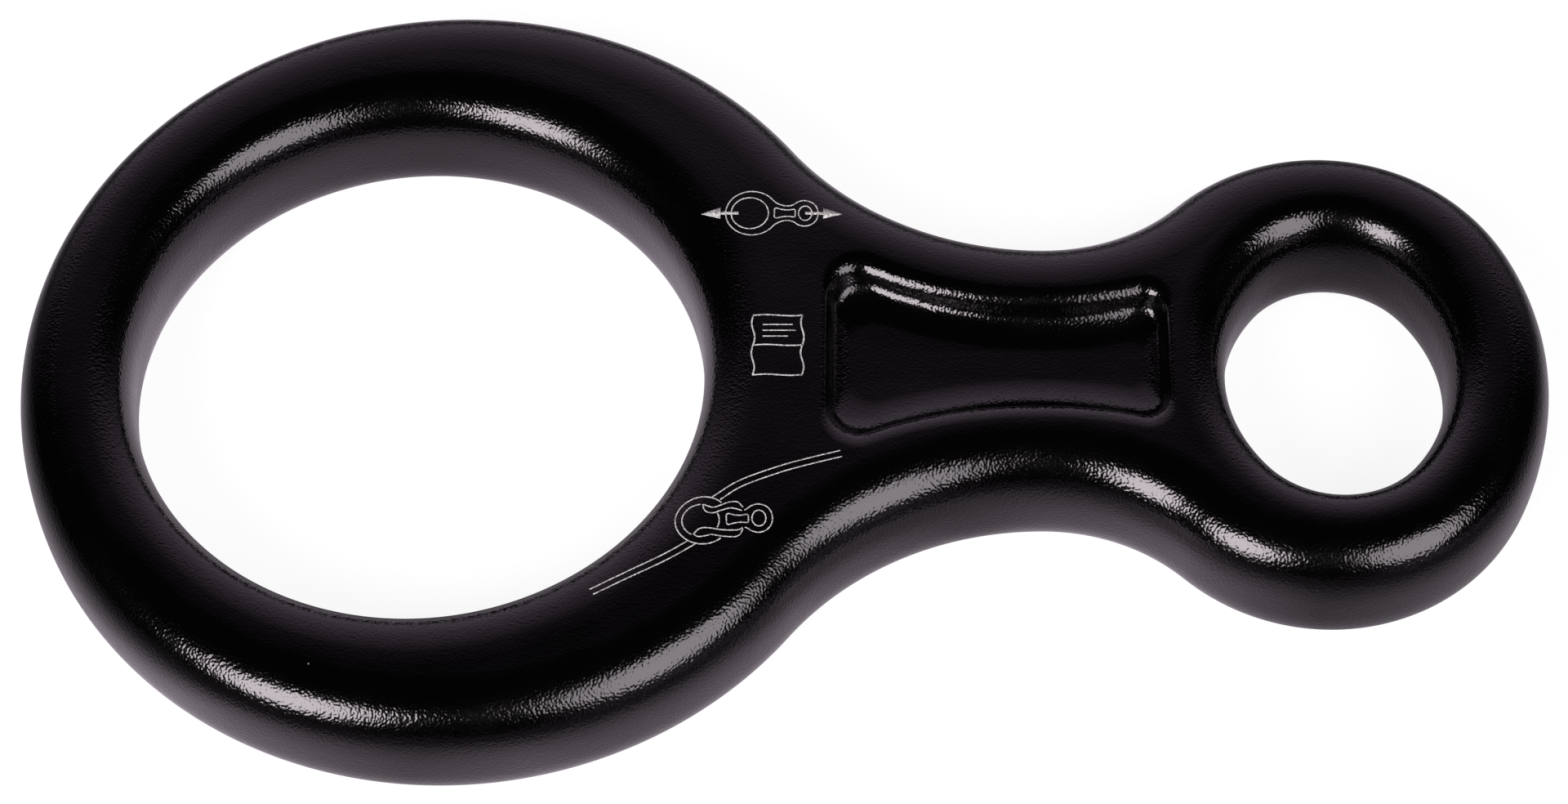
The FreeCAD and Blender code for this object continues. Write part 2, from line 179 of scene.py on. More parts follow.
def neck_arc(centre_x, centre_y, radius):
    """Radius of the hollow arc that is level at the neck's narrowest place and touches a circle of
    the ring beside it, from the distance of their centres."""
    rise = NECK_HALF_WIDTH - centre_y
    return ((NECK_LOW_X - centre_x) ** 2 + rise**2 - radius**2) / (2 * (radius - rise))


NECK_WIDE = neck_arc(RING_X, 0, RING_RADIUS)
NECK_TIGHT = neck_arc(SMALL_RING_X, SMALL_RING_CORNER_Y, SMALL_RING_CORNER)


def outline_path():
    """The outside, anticlockwise: ring arc, the two hollow arcs of the neck, three arcs of the small
    ring and the two hollow arcs of the other side, each tangent to the next."""
    corner, corner_y = SMALL_RING_CORNER, SMALL_RING_CORNER_Y
    length = SMALL_RING_END - SMALL_RING_X
    flank = (corner**2 - corner_y**2 - length**2) / (2 * (corner - length))
    end_x = SMALL_RING_END - flank
    wide_y, tight_y = NECK_HALF_WIDTH + NECK_WIDE, NECK_HALF_WIDTH + NECK_TIGHT
    ring_turn = math.atan2(wide_y, NECK_LOW_X - RING_X)
    corner_turn = math.atan2(tight_y - corner_y, SMALL_RING_X - NECK_LOW_X)
    end_turn = math.atan2(corner_y, SMALL_RING_X - end_x)
    return joined(
        arc((RING_X, 0), RING_RADIUS, ring_turn, FULL_TURN - ring_turn, -1),
        arc((NECK_LOW_X, -wide_y), NECK_WIDE, HALF_TURN - ring_turn, HALF_TURN / 2, 1),
        arc((NECK_LOW_X, -tight_y), NECK_TIGHT, HALF_TURN / 2, corner_turn, 1),
        arc((SMALL_RING_X, -corner_y), corner, HALF_TURN + corner_turn, FULL_TURN - end_turn, -1),
        arc((end_x, 0), flank, -end_turn, end_turn, -1),
        arc((SMALL_RING_X, corner_y), corner, end_turn, HALF_TURN - corner_turn, -1),
        arc((NECK_LOW_X, tight_y), NECK_TIGHT, -corner_turn, -HALF_TURN / 2, 1),
        arc((NECK_LOW_X, wide_y), NECK_WIDE, -HALF_TURN / 2, ring_turn - HALF_TURN, 1),
    )


def eye_path():
    """The oval eye, clockwise: a flat arc on each side of its middle and a corner arc at each end,
    each tangent to the next."""
    corner_y = EYE_HALF_WIDTH - EYE_CORNER
    radius = (EYE_HALF_LENGTH**2 + corner_y**2 - EYE_CORNER**2) / (2 * (EYE_HALF_LENGTH - EYE_CORNER))
    reach = radius - EYE_HALF_LENGTH
    turn = math.atan2(corner_y, reach)
    return joined(
        arc((EYE_X - reach, 0), radius, turn, -turn, 1),
        arc((EYE_X, -corner_y), EYE_CORNER, -turn, turn - HALF_TURN, 1),
        arc((EYE_X + reach, 0), radius, HALF_TURN + turn, HALF_TURN - turn, 1),
        arc((EYE_X, corner_y), EYE_CORNER, HALF_TURN - turn, turn, 1),
    )


def corner_on_side(side, inset, corner_x, corner):
    """A corner arc of the recess that touches a hollow side: the height of its centre, from the
    distance of the two centres, and the turn from there to the side's centre."""
    side_x, side_y, radius = side
    corner_y = side_y - math.sqrt((radius + inset + corner) ** 2 - (side_x - corner_x) ** 2)
    return corner_y, math.atan2(side_y - corner_y, side_x - corner_x)


def recess_line(ends, far, near, wide, narrow):
    """A level line of the recess, anticlockwise, with vectors that point into it: straight ends this
    far in from RECESS_START and RECESS_END, hollow sides this far in from RECESS_FAR and
    RECESS_NEAR, and corners of the radii wide and narrow."""
    start, end = RECESS_START + ends, RECESS_END - ends
    wide_x, narrow_x = start + wide, end - narrow
    far_x, far_y, far_radius = RECESS_FAR
    near_x, near_y, near_radius = RECESS_NEAR
    far_wide_y, far_wide = corner_on_side(RECESS_FAR, far, wide_x, wide)
    far_narrow_y, far_narrow = corner_on_side(RECESS_FAR, far, narrow_x, narrow)
    near_wide_y, near_wide = corner_on_side(RECESS_NEAR, near, wide_x, wide)
    near_narrow_y, near_narrow = corner_on_side(RECESS_NEAR, near, narrow_x, narrow)
    far_turns = HALF_TURN + far_narrow, HALF_TURN + far_wide
    near_turns = HALF_TURN - near_wide, HALF_TURN - near_narrow
    return joined(
        straight((end, -near_narrow_y), (end, far_narrow_y), (-1, 0), NARROW_END_POINTS),
        arc((narrow_x, far_narrow_y), narrow, 0, far_narrow, -1, CORNER_POINTS),
        arc((far_x, far_y), far_radius + far, *far_turns, 1, SIDE_POINTS),
        arc((wide_x, far_wide_y), wide, far_wide, HALF_TURN, -1, CORNER_POINTS),
        straight((start, far_wide_y), (start, -near_wide_y), (1, 0), WIDE_END_POINTS),
        arc((wide_x, -near_wide_y), wide, HALF_TURN, FULL_TURN - near_wide, -1, CORNER_POINTS),
        arc((near_x, -near_y), near_radius + near, *near_turns, 1, SIDE_POINTS),
        arc((narrow_x, -near_narrow_y), narrow, FULL_TURN - near_narrow, FULL_TURN, -1, CORNER_POINTS),
    )


def wall_section(slope, rim, rim_soft, foot, foot_soft):
    """How far in and how deep a wall of the recess is at each step of its lean: rounded from the
    flat face to the slope, straight, and rounded back to level. Each run of a rounding is its radius
    times its turn. Insets count from the place where the rim has the lean RIM_LEAN."""
    lean = np.radians(slope) * np.linspace(0, 1, LEAN_STEPS)
    middle = (lean[1:] + lean[:-1]) / 2
    soft = 1 / (1 + np.exp((np.degrees(middle) - SOFT_LEAN) / SOFT_BLEND))
    turn = np.diff(lean)
    rim_run = (rim + (rim_soft - rim) * soft) * turn
    foot_run = ((foot + (foot_soft - foot) * soft) * turn)[::-1]
    back = middle[::-1]
    rest = RECESS_DEPTH - (rim_run * np.sin(middle)).sum() - (foot_run * np.sin(back)).sum()
    runs = np.r_[rim_run, rest / math.sin(lean[-1]), foot_run]
    leans = np.r_[middle, lean[-1], back]
    along = np.r_[0, np.cumsum(runs * np.cos(leans))]
    drop = np.r_[0, np.cumsum(runs * np.sin(leans))]
    return along - np.interp(math.radians(RIM_LEAN), lean, along[:LEAN_STEPS]), drop


def nearest(points, others):
    """For each point, the distance to the nearest of the other points."""
    return np.sqrt(((points[:, None] - others[None]) ** 2).sum(-1)).min(1)


def soft_least(*lengths):
    """The least of several lengths with its corners rounded: minus the logarithm of the sum of
    exp(-sharpness length), divided by the sharpness."""
    sharpness = 4.0
    return -np.log(sum(np.exp(-sharpness * np.asarray(length)) for length in lengths)) / sharpness


def edge_strip(path, reach, power):
    """A side of the forging as a grid, path by section. Each section is an oval of the power p:
    inset = reach (1 - |cos t|^(2/p)), height = half thickness sign(sin t) |sin t|^(2/p), for t from
    -90 to 90 degrees, with a narrow flat row added at each end."""
    points, inward = path
    t = np.linspace(-HALF_TURN / 2, HALF_TURN / 2, SECTION_STEPS + 1)
    inset = 1 - np.abs(np.cos(t)) ** (2 / power)
    height = HALF_THICKNESS * np.sign(np.sin(t)) * np.abs(np.sin(t)) ** (2 / power)
    inset[[0, -1]] = 1
    height = np.r_[-HALF_THICKNESS, height, HALF_THICKNESS]
    run = reach[:, None] * np.r_[1, inset, 1] + GUARD_WIDTH * np.r_[1, 0 * inset, 1]
    plan = points[:, None] + inward[:, None] * run[..., None]
    return np.dstack([plan, np.broadcast_to(height, run.shape)])


def recess_strip():
    """The recess's wall as a grid, path by section: level lines one inside another. The far side is
    steeper than the near one and both are softer than the ends; each point's depth is a mean of the
    three sections' by the squares of its inward vector's parts."""
    far, near, ends = (wall_section(**wall) for wall in (FAR_WALL, NEAR_WALL, END_WALL))
    share = np.linspace(0, 1, len(ends[0]))
    wide, narrow = (rim + (foot - rim) * share for rim, foot in zip(RIM_CORNERS, FOOT_CORNERS))
    lines = [recess_line(*insets) for insets in zip(ends[0], far[0], near[0], wide, narrow)]
    inward = lines[0][1]
    weights = (np.maximum(-inward[:, 1], 0) ** 2, np.maximum(inward[:, 1], 0) ** 2, inward[:, 0] ** 2)
    drop = sum(weight[:, None] * section[1] for weight, section in zip(weights, (far, near, ends)))
    plan = np.stack([points for points, _ in lines], 1)
    return np.dstack([plan, HALF_THICKNESS - drop])


def grid_faces(rows, columns, first):
    """Quads of a grid of vertices that closes on itself along its rows."""
    row = np.arange(rows)[:, None] * columns
    after = np.roll(row, -1, axis=0)
    column = np.arange(columns - 1)
    corners = [row + column, after + column, after + column + 1, row + column + 1]
    return first + np.stack(corners, -1).reshape(-1, 4)


def flat_fill(vertices, borders, upwards):
    """Triangles between closed borders of vertices on one level, all facing up or all facing down."""
    order = np.concatenate(borders)
    triangles = order[np.array(tessellate_polygon([vertices[border].tolist() for border in borders]))]
    a, b, c = (vertices[triangles[:, corner], :2] for corner in range(3))
    area = (b[:, 0] - a[:, 0]) * (c[:, 1] - a[:, 1]) - (b[:, 1] - a[:, 1]) * (c[:, 0] - a[:, 0])
    wrong = (area > 0) != upwards
    triangles[wrong] = triangles[wrong, ::-1]
    return triangles[np.abs(area) > 0]


def make_piece(name, vertices, faces, material):
    """A mesh object at the origin that rides on the one body, from vertices in millimetres about
    the rope hole's middle."""
    mesh = bpy.data.meshes.new(name)
    places = np.asarray(vertices) * MM + np.array(ROPE_HOLE_PLACE)
    mesh.from_pydata(places.tolist(), [], faces)
    mesh.polygons.foreach_set("use_smooth", np.ones(len(mesh.polygons), bool))
    mesh.validate()
    piece = bpy.data.objects.new(name, mesh)
    bpy.context.scene.collection.objects.link(piece)
    mesh.materials.append(material)
    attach(piece, "root")
    return piece


def make_forging(material):
    """The forging: side strips round the outline and both holes, recess strips on both faces, and
    flat fills between them. The underside is the top turned over in z."""
    outline, eye = outline_path(), eye_path()
    rope_hole = arc((0, 0), ROPE_HOLE_RADIUS, FULL_TURN, 0, 1)
    recess = recess_strip()
    rim = recess[:, 0, :2]
    holes = np.concatenate([rope_hole[0], eye[0]])
    ring_share = np.where(outline[0][:, 0] < NECK_LOW_X, RING_WALL_SHARE, SMALL_RING_WALL_SHARE)

    def side_strip(path, others, share, reach, power):
        wall = share * (nearest(path[0], others) - WALL_FLAT)
        most = nearest(path[0], rim) - RIM_FLAT
        return edge_strip(path, soft_least(np.full(len(wall), reach), wall, most), power)

    grids = [
        side_strip(outline, holes, ring_share, OUTER_REACH, OUTER_POWER),
        side_strip(rope_hole, outline[0], ROPE_WALL_SHARE, ROPE_REACH, ROPE_POWER),
        side_strip(eye, outline[0], EYE_WALL_SHARE, EYE_REACH, EYE_POWER),
        recess,
        recess * (1, 1, -1),
    ]
    sides, (top_recess, under_recess) = range(3), (3, 4)
    vertices = np.concatenate([grid.reshape(-1, 3) for grid in grids])
    starts = np.cumsum([0] + [grid.shape[0] * grid.shape[1] for grid in grids])
    quads = [grid_faces(*grid.shape[:2], start) for grid, start in zip(grids, starts)]
    quads[under_recess] = quads[under_recess][:, ::-1]

    def border(number, column):
        rows, columns = grids[number].shape[:2]
        return starts[number] + np.arange(rows) * columns + column % columns

    triangles = [
        flat_fill(vertices, [border(side, -1) for side in sides] + [border(top_recess, 0)], True),
        flat_fill(vertices, [border(side, 0) for side in sides] + [border(under_recess, 0)], False),
        flat_fill(vertices, [border(top_recess, -1)], True),
        flat_fill(vertices, [border(under_recess, -1)], False),
    ]
    faces = np.concatenate(quads).tolist() + np.concatenate(triangles).tolist()
    return make_piece("descender_forging", vertices, faces, material)


def surface_height(plan):
    """Height of the top face where the walls are wide: half the thickness, brought down near an
    edge by the section's oval, (1 - (1 - distance / reach)^p)^(1/p)."""
    rope = (np.linalg.norm(plan, axis=-1) - ROPE_HOLE_RADIUS) / ROPE_REACH
    ring = (RING_RADIUS - np.linalg.norm(plan - (RING_X, 0), axis=-1)) / OUTER_REACH
    hollow_y = np.abs(plan[..., 1]) - NECK_HALF_WIDTH - NECK_WIDE
    hollow = np.stack([plan[..., 0] - NECK_LOW_X, hollow_y], -1)
    neck = (np.linalg.norm(hollow, axis=-1) - NECK_WIDE) / OUTER_REACH
    outer = np.where(plan[..., 0] > MARKED_NECK_X, neck, ring)
    beside_rope = (1 - (1 - np.clip(rope, 0, 1)) ** ROPE_POWER) ** (1 / ROPE_POWER)
    beside_outline = (1 - (1 - np.clip(outer, 0, 1)) ** OUTER_POWER) ** (1 / OUTER_POWER)
    return HALF_THICKNESS * np.minimum(beside_rope, beside_outline)


def leftwards(path, closed=False):
    """Unit vectors to the left of a line, square to the step between each point's neighbours."""
    if closed:
        along = np.roll(path, -1, axis=0) - np.roll(path, 1, axis=0)
    else:
        along = np.gradient(path, axis=0)
    along /= np.linalg.norm(along, axis=1, keepdims=True)
    return np.stack([-along[:, 1], along[:, 0]], -1)


def burned_line(path, widths, closed):
    """A drawn line as a thin closed skin that follows the top face and faces outwards: four vertices
    round each of its points, half a width to each side, a little under and over the face."""
    aside = leftwards(path, closed) * np.broadcast_to(widths, len(path))[:, None] / 2
    left, right = path + aside, path - aside
    plan = np.stack([left, right, right, left], 1)
    height = surface_height(plan) + np.array([-SKIN_UNDER, -SKIN_UNDER, SKIN_OVER, SKIN_OVER])
    vertices = np.concatenate([plan, height[..., None]], -1).reshape(-1, 3)
    side = np.arange(4)
    row = np.arange(len(path))[:, None] * len(side)
    after, beside = np.roll(row, -1, axis=0), np.roll(side, -1)
    quads = np.stack([row + side, after + side, after + beside, row + beside], -1)
    if closed:
        return vertices, quads.reshape(-1, 4)
    ends = [side, row[-1] + side[::-1]]
    return vertices, np.concatenate([quads[:-1].reshape(-1, 4), ends])


def level_line(start, end, y, count):
    """Points at equal steps along a line of constant y."""
    return np.stack([np.linspace(start, end, count), np.full(count, y)], -1)


def curve_through(points, steps=14):
    """A smooth line through a few points: cubic pieces whose slopes are half the step between each
    point's neighbours."""
    points = np.asarray(points, float)
    slopes = np.gradient(points, axis=0)
    t = np.linspace(0, 1, steps, endpoint=False)[:, None]
    rise, leave, arrive = 3 * t**2 - 2 * t**3, t**3 - 2 * t**2 + t, t**3 - t**2
    pieces = [
        (1 - rise) * start + leave * start_slope + rise * end + arrive * end_slope
        for start, end, start_slope, end_slope in zip(points, points[1:], slopes, slopes[1:])
    ]
    return np.concatenate([*pieces, points[-1:]])


def uncovered(path, cover, clear):
    """The runs of a closed path that are further than this from the points of what covers it, each
    with whether it still closes."""
    shortest = 4
    hidden = nearest(path, cover) < clear
    if not hidden.any():
        return [(path, True)]
    first = int(np.argmax(hidden))
    path, hidden = np.roll(path, -first, axis=0), np.roll(hidden, -first)
    cuts = np.flatnonzero(np.diff(hidden.astype(int))) + 1
    runs = zip(np.split(path, cuts), np.split(hidden, cuts))
    return [(run, False) for run, under in runs if not under[0] and len(run) >= shortest]


def small_eight(centre, scale, rope_hole_radius, turn):
    """The descender's own outline, rope hole, eye and recess, drawn small about its rope hole's
    centre and turned."""
    hole_points = 90
    rope_hole = arc((0, 0), rope_hole_radius, 0, FULL_TURN, 1, hole_points)
    recess = recess_line(0, 0, 0, *RIM_CORNERS)
    paths = [outline_path()[0][::2], rope_hole[0], eye_path()[0], recess[0]]
    across, up = math.cos(turn), math.sin(turn)
    turned = np.array([[across, up], [-up, across]])
    return [np.asarray(centre) + scale * path @ turned for path in paths]


def pulled_symbol():
    """The descender pulled both ways: an arrow at each end, a head that widens from its tip and a
    shaft that ends inside the hole. Each line is a path, its widths and whether it closes."""
    head, shaft_end, thinnest = 1.7, 3.3, 0.04
    widths = np.linspace(thinnest, ARROW_HEAD_WIDTH, 8)
    centre_y = PULLED_CENTRE[1]
    eight = small_eight(PULLED_CENTRE, PULLED_SCALE, PULLED_HOLE, PULLED_TURN)
    lines = [(path, LINE_WIDTH, True) for path in eight]
    for tip, way in zip(ARROW_TIPS, (1, -1)):
        start = tip + way * thinnest / 2
        lines.append((level_line(start, tip + way * head, centre_y, len(widths)), widths, False))
        shaft = level_line(tip + way * head, tip + way * shaft_end, centre_y, 6)
        lines.append((shaft, ARROW_SHAFT_WIDTH, False))
    return lines


def booklet_symbol():
    """An open booklet: rippled sides, x = side + ripple sin(4 pi share of the height), a top edge, a
    fold and a bottom edge that ripple along x, and three lines of text above the fold."""
    left, right, low, fold, high = 29.37, 33.66, -2.48, 0.59, 3.67
    overlap, side_ripple, edge_ripple, edge_waves = 0.04, 0.14, 0.06, 1.44
    text_left, text_lines = 30.2, ((2.7, 2.6), (2.1, 2.9), (1.5, 2.2))
    share = np.linspace(0, 1, 25)
    ripple = side_ripple * np.sin(share * FULL_TURN * 2)
    rise = low + (high - low) * share
    lines = [(np.stack([x + ripple, rise], -1), PAGE_LINE_WIDTH, False) for x in (left, right)]
    for y in (low, fold, high):
        edge = level_line(left - overlap, right + overlap, y, 9)
        edge[:, 1] += edge_ripple * np.sin((edge[:, 0] - edge[0, 0]) * edge_waves)
        lines.append((edge, PAGE_LINE_WIDTH, False))
    for y, length in text_lines:
        lines.append((level_line(text_left, text_left + length, y, 6), TEXT_LINE_WIDTH, False))
    return lines


def roped_symbol():
    """The descender on a rope: two strands come out of the hole and pass round the neck, hiding the
    drawn lines under them, and the free ends run off from behind the ring."""
    neck_start, neck_end, neck_sides = 2.0, 3.45, (-0.66, 0.93)
    outline_clear, inner_clear, ring_ahead = 0.14, 0.1, 0.19
    centre = np.array(ROPED_CENTRE)
    strands = [[centre + curve_through(edge) for edge in edges] for edges in STRANDS]
    shares = np.linspace(0, 1, 9)
    cover = np.concatenate([one + (other - one) * share for one, other in strands for share in shares])
    neck = [centre + level_line(neck_start, neck_end, y, 20) for y in neck_sides]
    outline, *inner = small_eight(centre, ROPED_SCALE, ROPED_HOLE, ROPED_TURN)
    runs = uncovered(outline, np.concatenate([cover, *neck]), outline_clear)
    for path in inner:
        runs += uncovered(path, cover, inner_clear)
    lines = [(run, LINE_WIDTH, closed) for run, closed in runs]
    lines += [(edge, LINE_WIDTH, False) for edges in strands for edge in edges]
    ring_centre = centre + (ring_ahead, 0)
    for free_end in (NEAR_ROPE_END, FAR_ROPE_END):
        edge = curve_through(free_end)
        for path in (edge, edge - ROPE_WIDTH * leftwards(edge)):
            outside = np.linalg.norm(path - ring_centre, axis=1) > ROPED_SCALE * RING_RADIUS
            lines.append((path[outside], LINE_WIDTH, False))
    return lines


def make_markings(material):
    """The three generic symbols as one piece."""
    vertices, quads, count = [], [], 0
    for path, widths, closed in pulled_symbol() + booklet_symbol() + roped_symbol():
        more, faces = burned_line(path, widths, closed)
        vertices.append(more)
        quads.append(faces + count)
        count += len(more)
    return make_piece("face_symbols", np.concatenate(vertices), np.concatenate(quads).tolist(), material)


def noise_at(nodes, links, place, scale, detail, roughness=0.5):
    """A cloudy noise from 0 to 1, at the places that a socket gives."""
    noise = nodes.new("ShaderNodeTexNoise")
    noise.inputs["Scale"].default_value = scale
    noise.inputs["Detail"].default_value = detail
    noise.inputs["Roughness"].default_value = roughness
    links.new(place, noise.inputs["Vector"])
    return noise.outputs["Fac"]


def calculate(nodes, links, operation, *values):
    """A Math node's output, from sockets or numbers."""
    node = nodes.new("ShaderNodeMath")
    node.operation = operation
    for socket, value in zip(node.inputs, values):
        if isinstance(value, (int, float)):
            socket.default_value = value
        else:
            links.new(value, socket)
    return node.outputs["Value"]


def mapped(nodes, links, value, low, high, to_low, to_high):
    """A value carried smoothly from one range to another, and held at its ends."""
    node = nodes.new("ShaderNodeMapRange")
    node.interpolation_type = "SMOOTHSTEP"
    limits = {"From Min": low, "From Max": high, "To Min": to_low, "To Max": to_high}
    for name, limit in limits.items():
        node.inputs[name].default_value = limit
    links.new(value, node.inputs["Value"])
    return node.outputs["Result"]


def grain_group():
    """Fine shot-blasted grain: a height for bumps, made of grain, orange peel and slow forging
    waves, and a slow mask for roughness."""
    group = bpy.data.node_groups.new("BlastedGrain", "ShaderNodeTree")
    face = group.interface
    face.new_socket("Vector", in_out="INPUT", socket_type="NodeSocketVector")
    for name in ("Grain", "Peel", "Wave"):
        face.new_socket(name, in_out="INPUT", socket_type="NodeSocketFloat")
    face.new_socket("Height", in_out="OUTPUT", socket_type="NodeSocketFloat")
    face.new_socket("Patches", in_out="OUTPUT", socket_type="NodeSocketFloat")
    nodes, links = group.nodes, group.links
    given = nodes.new("NodeGroupInput").outputs
    out = nodes.new("NodeGroupOutput")
    fine = noise_at(nodes, links, given["Vector"], scale=4400.0, detail=0.0)
    peel = noise_at(nodes, links, given["Vector"], scale=900.0, detail=2.0)
    wave = noise_at(nodes, links, given["Vector"], scale=90.0, detail=1.0)
    height = calculate(nodes, links, "MULTIPLY", fine, given["Grain"])
    height = calculate(nodes, links, "MULTIPLY_ADD", peel, given["Peel"], height)
    height = calculate(nodes, links, "MULTIPLY_ADD", wave, given["Wave"], height)
    links.new(height, out.inputs["Height"])
    patches = noise_at(nodes, links, given["Vector"], scale=160.0, detail=3.0, roughness=0.6)
    links.new(patches, out.inputs["Patches"])
    return group


def new_material(name, colour, ior):
    """A material of one plain colour, with its nodes, links and shader."""
    material = bpy.data.materials.new(name)
    material.use_nodes = True
    nodes, links = material.node_tree.nodes, material.node_tree.links
    shader = nodes["Principled BSDF"]
    shader.inputs["Base Color"].default_value = (*colour, 1)
    shader.inputs["IOR"].default_value = ior
    return material, nodes, links, shader


def add_grain(nodes, links, shader, grain, heights):
    """Places the grain in a material, feeding its bumps, and returns the coordinates' node and the
    group's."""
    bump_depth = 1.6e-5
    place = nodes.new("ShaderNodeTexCoord")
    node = nodes.new("ShaderNodeGroup")
    node.node_tree = grain
    links.new(place.outputs["Object"], node.inputs["Vector"])
    for name, height in heights.items():
        node.inputs[name].default_value = height
    bump = nodes.new("ShaderNodeBump")
    bump.inputs["Distance"].default_value = bump_depth
    links.new(node.outputs["Height"], bump.inputs["Height"])
    links.new(bump.outputs["Normal"], shader.inputs["Normal"])
    return place, node


def pale_specks(nodes, links, place):
    """A mask of rare round specks: the middles of a few of the cells that the surface is cut into."""
    cell_scale, speck_radius, speck_edge, rarity = 330.0, 0.02, 0.035, 0.965
    cells = nodes.new("ShaderNodeTexVoronoi")
    cells.inputs["Scale"].default_value = cell_scale
    links.new(place, cells.inputs["Vector"])
    dot = mapped(nodes, links, cells.outputs["Distance"], speck_radius, speck_edge, 1.0, 0.0)
    pick = nodes.new("ShaderNodeSeparateColor")
    links.new(cells.outputs["Color"], pick.inputs["Color"])
    rare = calculate(nodes, links, "GREATER_THAN", pick.outputs["Red"], rarity)
    return calculate(nodes, links, "MULTIPLY", dot, rare)


def anodising(grain):
    """Black anodising over blasted metal: almost black under a clear sheen, with less grain on the
    flat faces than on the edges, slow patches of roughness and a few pale specks."""
    black, speck_colour = (0.0006, 0.0005, 0.0006), (0.2, 0.19, 0.19, 1)
    sheen_tint = (1.0, 0.91, 0.97, 1)
    tilted, level = 0.985, 0.9998
    edge_grain, face_grain = 1.9, 0.4
    edge_peel, face_peel = 0.9, 0.3
    patch_range, rough_range = (0.35, 0.65), (0.13, 0.17)
    material, nodes, links, shader = new_material("black_anodising", black, ior=1.55)
    shader.inputs["Specular Tint"].default_value = sheen_tint
    place, node = add_grain(nodes, links, shader, grain, {"Wave": 4.0})
    faces = nodes.new("ShaderNodeNewGeometry")
    facing = nodes.new("ShaderNodeSeparateXYZ")
    links.new(faces.outputs["Normal"], facing.inputs["Vector"])
    upright = calculate(nodes, links, "ABSOLUTE", facing.outputs["Z"])
    grain_height = mapped(nodes, links, upright, tilted, level, edge_grain, face_grain)
    peel_height = mapped(nodes, links, upright, tilted, level, edge_peel, face_peel)
    links.new(grain_height, node.inputs["Grain"])
    links.new(peel_height, node.inputs["Peel"])
    rough = mapped(nodes, links, node.outputs["Patches"], *patch_range, *rough_range)
    links.new(rough, shader.inputs["Roughness"])
    mix = nodes.new("ShaderNodeMix")
    mix.data_type = "RGBA"
    mix.inputs["A"].default_value = shader.inputs["Base Color"].default_value
    mix.inputs["B"].default_value = speck_colour
    links.new(pale_specks(nodes, links, place.outputs["Object"]), mix.inputs["Factor"])
    links.new(mix.outputs["Result"], shader.inputs["Base Color"])
    return material


def marking(grain):
    """Laser marking: matt light grey, broken up by the grain that the beam follows."""
    pale, dark = (0.62, 0.59, 0.59), (0.2, 0.19, 0.19, 1)
    missed_below, burned_above = 0.36, 0.56
    material, nodes, links, shader = new_material("laser_marking", pale, ior=1.5)
    heights = {"Grain": 1.0, "Peel": 0.5, "Wave": 0.0}
    place, _ = add_grain(nodes, links, shader, grain, heights)
    shader.inputs["Roughness"].default_value = 0.6
    broken = noise_at(nodes, links, place.outputs["Object"], scale=5200.0, detail=2.0, roughness=0.6)
    shade = nodes.new("ShaderNodeValToRGB")
    missed, burned = shade.color_ramp.elements
    missed.position, burned.position = missed_below, burned_above
    missed.color = dark
    burned.color = shader.inputs["Base Color"].default_value
    links.new(broken, shade.inputs["Fac"])
    links.new(shade.outputs["Color"], shader.inputs["Base Color"])
    return material


def colour_steps(nodes, links, value, steps):
    """A grey that follows a value through the given steps of position and grey."""
    node = nodes.new("ShaderNodeValToRGB")
    ramp = node.color_ramp
    ramp.elements[0].position, ramp.elements[1].position = steps[0][0], steps[-1][0]
    for position, _ in steps[1:-1]:
        ramp.elements.new(position)
    for element, (_, grey) in zip(ramp.elements, steps):
        element.color = (grey, grey, grey, 1)
    links.new(value, node.inputs["Fac"])
    return node.outputs["Color"]


def make_surroundings():
    """A dim studio: a pale wall behind that fades upwards and to the sides, a pale corner at the
    right, and dark elsewhere, all a little purple. Turns are shares of a half turn up from the far
    horizon, and the wall's top is lower towards its sides."""
    wall_arch, darkest, tint_colour = 0.2, 0.003, (1.0, 0.84, 1.06)
    corner_turns, corner_sides, corner_grey = (0.88, 0.97), (0.25, 0.7), 0.35
    up_steps = [
        (0, 0.66), (0.04, 0.62), (0.11, 0.56), (0.16, 0.51), (0.2, 0.44),
        (0.245, 0.36), (0.287, 0.24), (0.302, 0.14), (0.322, 0.06), (0.34, 0.0),
    ]
    side_steps = [(0.42, 1.0), (0.5, 0.82), (0.6, 0.55), (0.7, 0.36), (0.8, 0.15), (0.9, 0.02)]
    world = bpy.data.worlds.new("studio")
    bpy.context.scene.world = world
    world.use_nodes = True
    nodes, links = world.node_tree.nodes, world.node_tree.links
    place = nodes.new("ShaderNodeTexCoord")
    split = nodes.new("ShaderNodeSeparateXYZ")
    links.new(place.outputs["Generated"], split.inputs["Vector"])
    turn = calculate(nodes, links, "ARCTAN2", split.outputs["Z"], split.outputs["Y"])
    turn = calculate(nodes, links, "DIVIDE", turn, HALF_TURN)
    aside = calculate(nodes, links, "ABSOLUTE", split.outputs["X"])
    square = calculate(nodes, links, "MULTIPLY", aside, aside)
    arched = calculate(nodes, links, "MULTIPLY_ADD", square, wall_arch, turn)
    upwards = colour_steps(nodes, links, arched, up_steps)
    sideways = colour_steps(nodes, links, aside, side_steps)
    wall = calculate(nodes, links, "MULTIPLY", upwards, sideways)
    low = mapped(nodes, links, turn, *corner_turns, 0.0, 1.0)
    right = mapped(nodes, links, split.outputs["X"], *corner_sides, 0.0, corner_grey)
    corner = calculate(nodes, links, "MULTIPLY", low, right)
    total = calculate(nodes, links, "ADD", wall, corner)
    total = calculate(nodes, links, "ADD", total, darkest)
    tint = nodes.new("ShaderNodeVectorMath")
    tint.operation = "MULTIPLY"
    tint.inputs[1].default_value = tint_colour
    links.new(total, tint.inputs[0])
    links.new(tint.outputs["Vector"], nodes["Background"].inputs["Color"])


